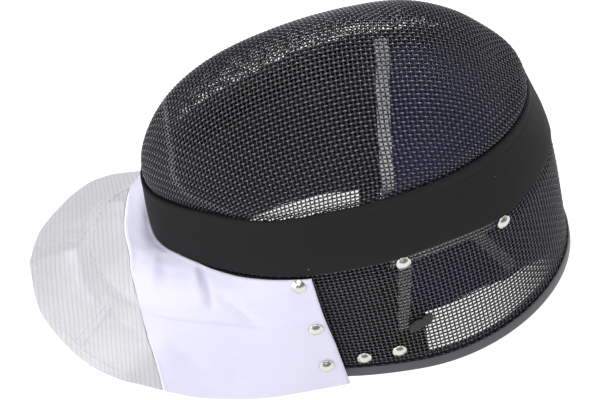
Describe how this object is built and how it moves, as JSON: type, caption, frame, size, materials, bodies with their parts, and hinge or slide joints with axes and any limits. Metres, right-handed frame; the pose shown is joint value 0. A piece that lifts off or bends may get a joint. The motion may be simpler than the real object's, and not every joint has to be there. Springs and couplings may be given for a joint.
{
  "type": "fencing mask",
  "caption": "Fencing mask lying face up: domed black wire mesh face, mesh side wall, broad seam band, rubber rim, white cloth bib with a striped grey front panel, lining pads",
  "frame": {"origin": "bottom centre of the bounding box, on the surface it lies on", "axes": "+X points to the crown of the head, -X to the chin and the bib; +Z points out of the face, which is up; the head opening faces -Z"},
  "size_m": [0.373, 0.2028, 0.2293],
  "materials": {
    "wire": "satin black enamel on woven steel wire",
    "webbing": "matt flat webbing",
    "rubber": "satin",
    "white_cloth": "matt close-woven cloth",
    "lame": "dull metallic cloth with fine stripes",
    "navy_cloth": "matt",
    "black_cloth": "matt",
    "white_webbing": "matt",
    "plastic": "satin",
    "nickel": "polished nickel plate"
  },
  "bodies": {
    "root": {"face_mesh": "wire", "side_mesh": "wire", "seam_band": "webbing", "rim_trim": "rubber", "bib_white": "white_cloth", "bib_lame": "lame", "crown_pad": "navy_cloth", "pad_binding": "black_cloth", "side_pad_near": "black_cloth", "side_pad_far": "black_cloth", "strap_near": "white_webbing", "strap_far": "white_webbing", "band_tape": "white_webbing", "strap_clip": "plastic", "rivet_bib_top_near": "nickel", "rivet_bib_top_far": "nickel", "rivet_bib_mid_near": "nickel", "rivet_bib_mid_far": "nickel", "rivet_bib_low_near": "nickel", "rivet_bib_low_far": "nickel", "rivet_band_front_near": "nickel", "rivet_band_front_far": "nickel", "rivet_band_back_near": "nickel", "rivet_band_back_far": "nickel", "rivet_rim_front_near": "nickel", "rivet_rim_front_far": "nickel", "rivet_rim_back_near": "nickel", "rivet_rim_back_far": "nickel"}
  },
  "joints": []
}
